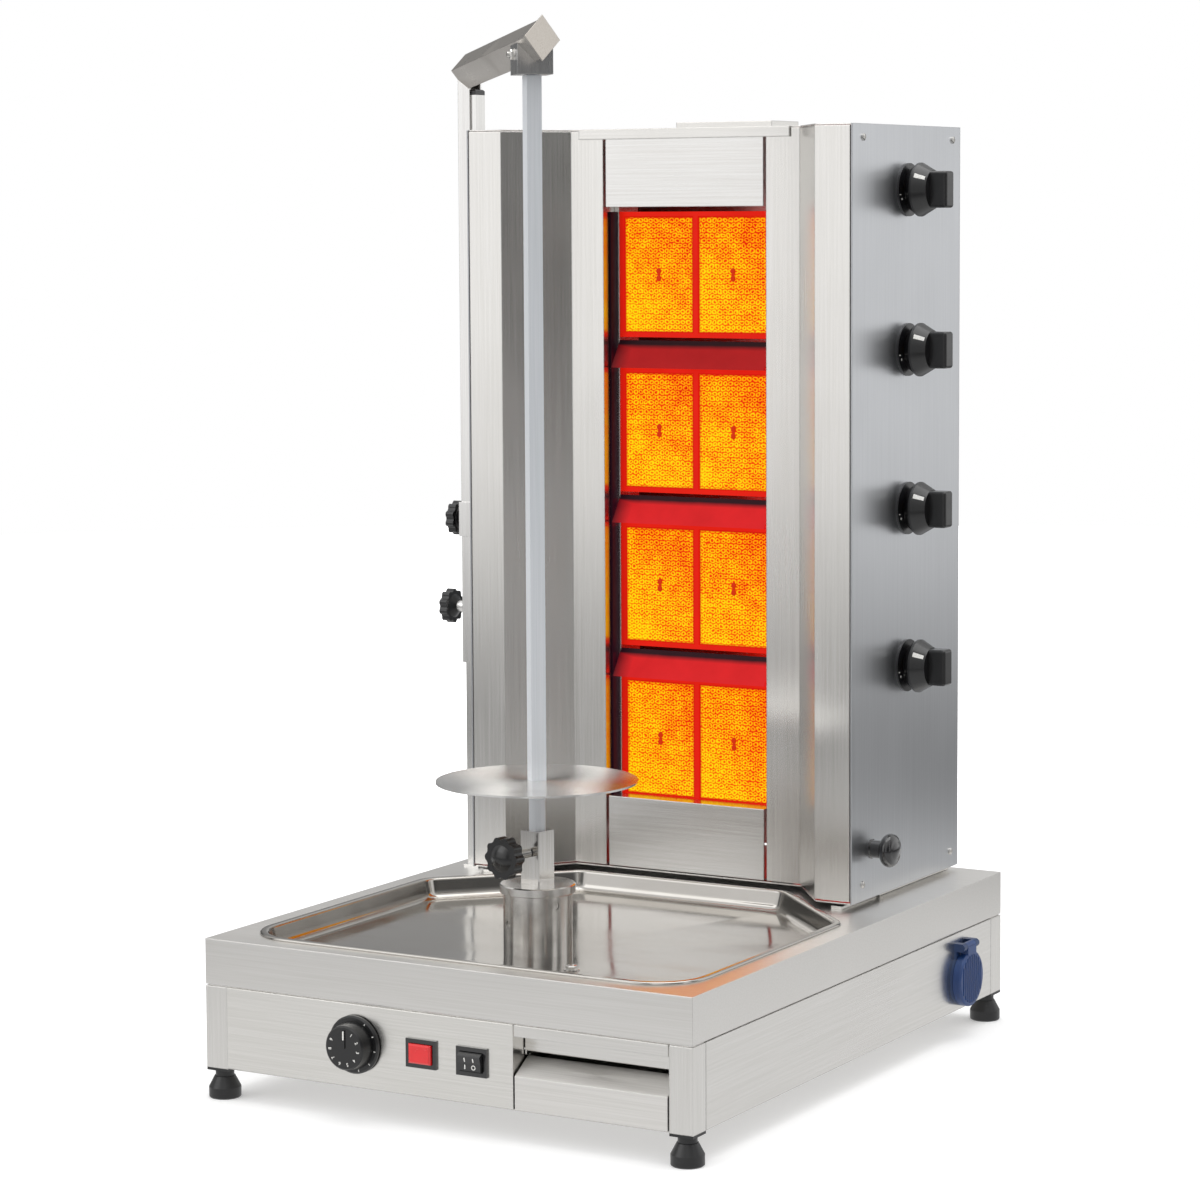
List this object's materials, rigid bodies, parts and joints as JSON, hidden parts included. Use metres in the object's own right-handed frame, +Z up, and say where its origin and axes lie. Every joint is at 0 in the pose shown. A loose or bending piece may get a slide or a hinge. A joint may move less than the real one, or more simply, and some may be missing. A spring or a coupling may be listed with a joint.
{
  "type": "gas doner kebab grill",
  "caption": "Vertical gas grill with a turning skewer over a drip pan, a sliding tower of ceramic burners, a mast with a bearing arm, gas knobs and a base drawer.",
  "frame": {"origin": "on the floor, under the middle of the base cabinet", "axes": "+Z up, +Y towards the back of the grill, +X to the right of a person facing its control panel"},
  "size_m": [0.5539, 0.7084, 1.0251],
  "materials": {
    "brushed_sheet": "brushed stainless sheet, fine vertical grain",
    "polished_deck": "bright stainless sheet",
    "mirror_pan": "mirror-bright drawn stainless",
    "reflector_sheet": "stainless sheet, heat tinted",
    "frame_steel": "satin stainless tube and angle",
    "machined_steel": "turned and milled stainless",
    "screw_steel": "bright screws",
    "burner_metal": "dark burner casing",
    "burner_ceramic": "porous fireclay plaques",
    "gas_brass": "plain brass",
    "zinc_pipe": "zinc-plated steel pipe",
    "black_moulding": "moulded black thermoset, slight sheen",
    "black_gloss": "smooth black moulding",
    "button_red": "glossy red",
    "lid_blue": "moulded blue, semi-gloss",
    "socket_grey": "moulded dark grey",
    "motor_grey": "grey stoved paint",
    "scale_black": "printed black disc"
  },
  "bodies": {
    "base": {"base_frame": "frame_steel", "top_deck": "polished_deck", "drip_pan": "mirror_pan", "side_panel_left": "brushed_sheet", "side_panel_right": "brushed_sheet", "chassis_pan": "brushed_sheet", "control_panel": "brushed_sheet", "switch_housings": "black_gloss", "drawer_housing": "brushed_sheet", "socket_housing": "socket_grey", "foot_inserts": "black_moulding", "gearmotor": "motor_grey", "motor_column": "machined_steel", "guide_post": "frame_steel", "post_plug": "black_moulding", "tower_rails": "frame_steel"},
    "tower": {"tower_base": "brushed_sheet", "tower_side_left": "brushed_sheet", "tower_side_right": "brushed_sheet", "wing_left": "brushed_sheet", "wing_right": "brushed_sheet", "tower_back": "brushed_sheet", "top_cover": "brushed_sheet", "centre_plates": "brushed_sheet", "burner_bodies": "burner_metal", "ceramic_tiles": "burner_ceramic", "burner_reflectors": "reflector_sheet", "gas_manifold": "zinc_pipe", "gas_valves": "gas_brass", "scale_discs": "scale_black", "pull_handle": "black_gloss", "tower_screws": "screw_steel"},
    "spit": {"column_cap": "machined_steel", "clamp_block": "machined_steel", "skewer": "machined_steel", "meat_plate": "machined_steel"},
    "spit_knob": {"spit_clamp_knob": "black_moulding"},
    "mast": {"mast_channel": "frame_steel", "arm_tube": "frame_steel", "bearing_bracket": "frame_steel"},
    "upper_knob": {"mast_knob_upper": "black_moulding"},
    "lower_knob": {"mast_knob_lower": "black_moulding"},
    "drawer": {"drawer_front": "brushed_sheet", "drawer_box": "brushed_sheet"},
    "dial": {"speed_dial": "black_moulding"},
    "start_button": {"red_button": "button_red"},
    "rocker": {"rocker_cap": "black_gloss"},
    "inlet_lid": {"socket_lid": "lid_blue"},
    "foot_front_left": {"foot_front_left": "black_moulding"},
    "foot_front_right": {"foot_front_right": "black_moulding"},
    "foot_rear_left": {"foot_rear_left": "black_moulding"},
    "foot_rear_right": {"foot_rear_right": "black_moulding"},
    "stem_1": {"valve_stem_1": "gas_brass"},
    "knob_1": {"gas_knob_1": "black_moulding"},
    "stem_2": {"valve_stem_2": "gas_brass"},
    "knob_2": {"gas_knob_2": "black_moulding"},
    "stem_3": {"valve_stem_3": "gas_brass"},
    "knob_3": {"gas_knob_3": "black_moulding"},
    "stem_4": {"valve_stem_4": "gas_brass"},
    "knob_4": {"gas_knob_4": "black_moulding"}
  },
  "joints": [
    {"name": "tower_slide", "type": "slide", "parent": "base", "child": "tower", "axis": [0, -1, 0], "range_m": [0, 0.09]},
    {"name": "spit_turn", "type": "hinge", "parent": "base", "child": "spit", "pos_m": [0, -0.16, 0], "axis": [0, 0, 1], "continuous": true},
    {"name": "spit_knob_turn", "type": "hinge", "parent": "spit", "child": "spit_knob", "pos_m": [0, -0.16, 0.234], "axis": [-0.1736, -0.9848, 0], "continuous": true},
    {"name": "mast_lift", "type": "slide", "parent": "base", "child": "mast", "axis": [0, 0, 1], "range_m": [0, 0.1]},
    {"name": "upper_knob_turn", "type": "hinge", "parent": "mast", "child": "upper_knob", "pos_m": [-0.2474, 0.111, 0.5235], "axis": [-1, 0, 0], "continuous": true},
    {"name": "lower_knob_turn", "type": "hinge", "parent": "mast", "child": "lower_knob", "pos_m": [-0.2474, 0.111, 0.43], "axis": [-1, 0, 0], "continuous": true},
    {"name": "drawer_slide", "type": "slide", "parent": "base", "child": "drawer", "axis": [0, -1, 0], "range_m": [0, 0.22]},
    {"name": "dial_turn", "type": "hinge", "parent": "base", "child": "dial", "pos_m": [-0.093, -0.336, 0.072], "axis": [0, 1, 0], "range_deg": [0, 270]},
    {"name": "button_press", "type": "slide", "parent": "base", "child": "start_button", "axis": [0, 1, 0], "range_m": [0, 0.0025], "stiffness_N_per_m": 500, "springref_m": -0.001},
    {"name": "rocker_tilt", "type": "hinge", "parent": "base", "child": "rocker", "pos_m": [0.0355, -0.337, 0.0705], "axis": [1, 0, 0], "range_deg": [-16, 0]},
    {"name": "lid_hinge", "type": "hinge", "parent": "base", "child": "inlet_lid", "pos_m": [0.2724, 0.238, 0.096], "axis": [0, -1, 0], "range_deg": [0, 110], "stiffness_Nm_per_rad": 0.012, "springref_deg": -17.19},
    {"name": "foot_front_left_turn", "type": "hinge", "parent": "base", "child": "foot_front_left", "pos_m": [-0.253, -0.324, 0], "axis": [0, 0, 1], "continuous": true},
    {"name": "foot_front_right_turn", "type": "hinge", "parent": "base", "child": "foot_front_right", "pos_m": [0.253, -0.324, 0], "axis": [0, 0, 1], "continuous": true},
    {"name": "foot_rear_left_turn", "type": "hinge", "parent": "base", "child": "foot_rear_left", "pos_m": [-0.253, 0.324, 0], "axis": [0, 0, 1], "continuous": true},
    {"name": "foot_rear_right_turn", "type": "hinge", "parent": "base", "child": "foot_rear_right", "pos_m": [0.253, 0.324, 0], "axis": [0, 0, 1], "continuous": true},
    {"name": "stem_1_push", "type": "slide", "parent": "tower", "child": "stem_1", "axis": [-1, 0, 0], "range_m": [0, 0.003], "stiffness_N_per_m": 1200, "springref_m": -0.002},
    {"name": "knob_1_turn", "type": "hinge", "parent": "stem_1", "child": "knob_1", "pos_m": [0.2255, 0.2005, 0.864], "axis": [1, 0, 0], "range_deg": [0, 180]},
    {"name": "stem_2_push", "type": "slide", "parent": "tower", "child": "stem_2", "axis": [-1, 0, 0], "range_m": [0, 0.003], "stiffness_N_per_m": 1200, "springref_m": -0.002},
    {"name": "knob_2_turn", "type": "hinge", "parent": "stem_2", "child": "knob_2", "pos_m": [0.2255, 0.2005, 0.7045], "axis": [1, 0, 0], "range_deg": [0, 180]},
    {"name": "stem_3_push", "type": "slide", "parent": "tower", "child": "stem_3", "axis": [-1, 0, 0], "range_m": [0, 0.003], "stiffness_N_per_m": 1200, "springref_m": -0.002},
    {"name": "knob_3_turn", "type": "hinge", "parent": "stem_3", "child": "knob_3", "pos_m": [0.2255, 0.2005, 0.545], "axis": [1, 0, 0], "range_deg": [0, 180]},
    {"name": "stem_4_push", "type": "slide", "parent": "tower", "child": "stem_4", "axis": [-1, 0, 0], "range_m": [0, 0.003], "stiffness_N_per_m": 1200, "springref_m": -0.002},
    {"name": "knob_4_turn", "type": "hinge", "parent": "stem_4", "child": "knob_4", "pos_m": [0.2255, 0.2005, 0.3855], "axis": [1, 0, 0], "range_deg": [0, 180]}
  ]
}
